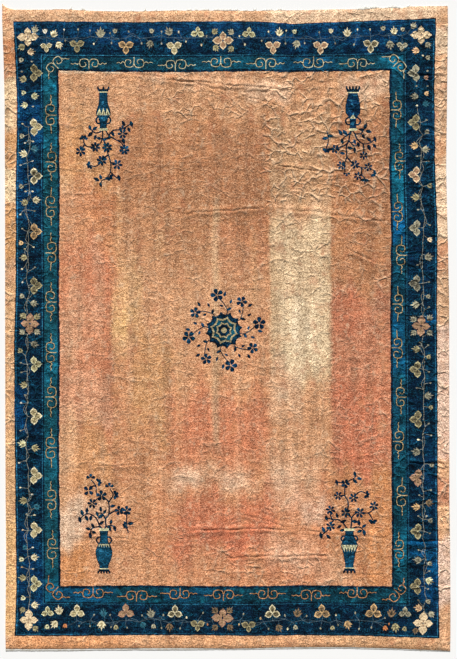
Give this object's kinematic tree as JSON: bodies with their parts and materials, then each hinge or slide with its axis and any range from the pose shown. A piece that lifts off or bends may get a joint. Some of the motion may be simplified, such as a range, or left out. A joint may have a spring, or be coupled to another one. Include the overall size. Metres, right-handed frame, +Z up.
{
  "type": "hand-knotted chinese rug",
  "caption": "Room-size hand-knotted wool rug lying flat, with a peach field, navy and teal floral borders, low creases and worn cotton end webs.",
  "frame": {"origin": "middle of the rug's bounding box, on the floor it lies on", "axes": "+X across the rug, +Y along it towards the end with the torn web, +Z up from the floor"},
  "size_m": [2.736, 3.957, 0.018],
  "materials": {
    "wool_pile": "clipped wool pile in peach, navy and teal, worn and faded",
    "cotton_web": "undyed flat-woven cotton, frayed"
  },
  "bodies": {
    "root": {"rug_body": "wool_pile", "near_web": "cotton_web", "far_web": "cotton_web"}
  },
  "joints": []
}
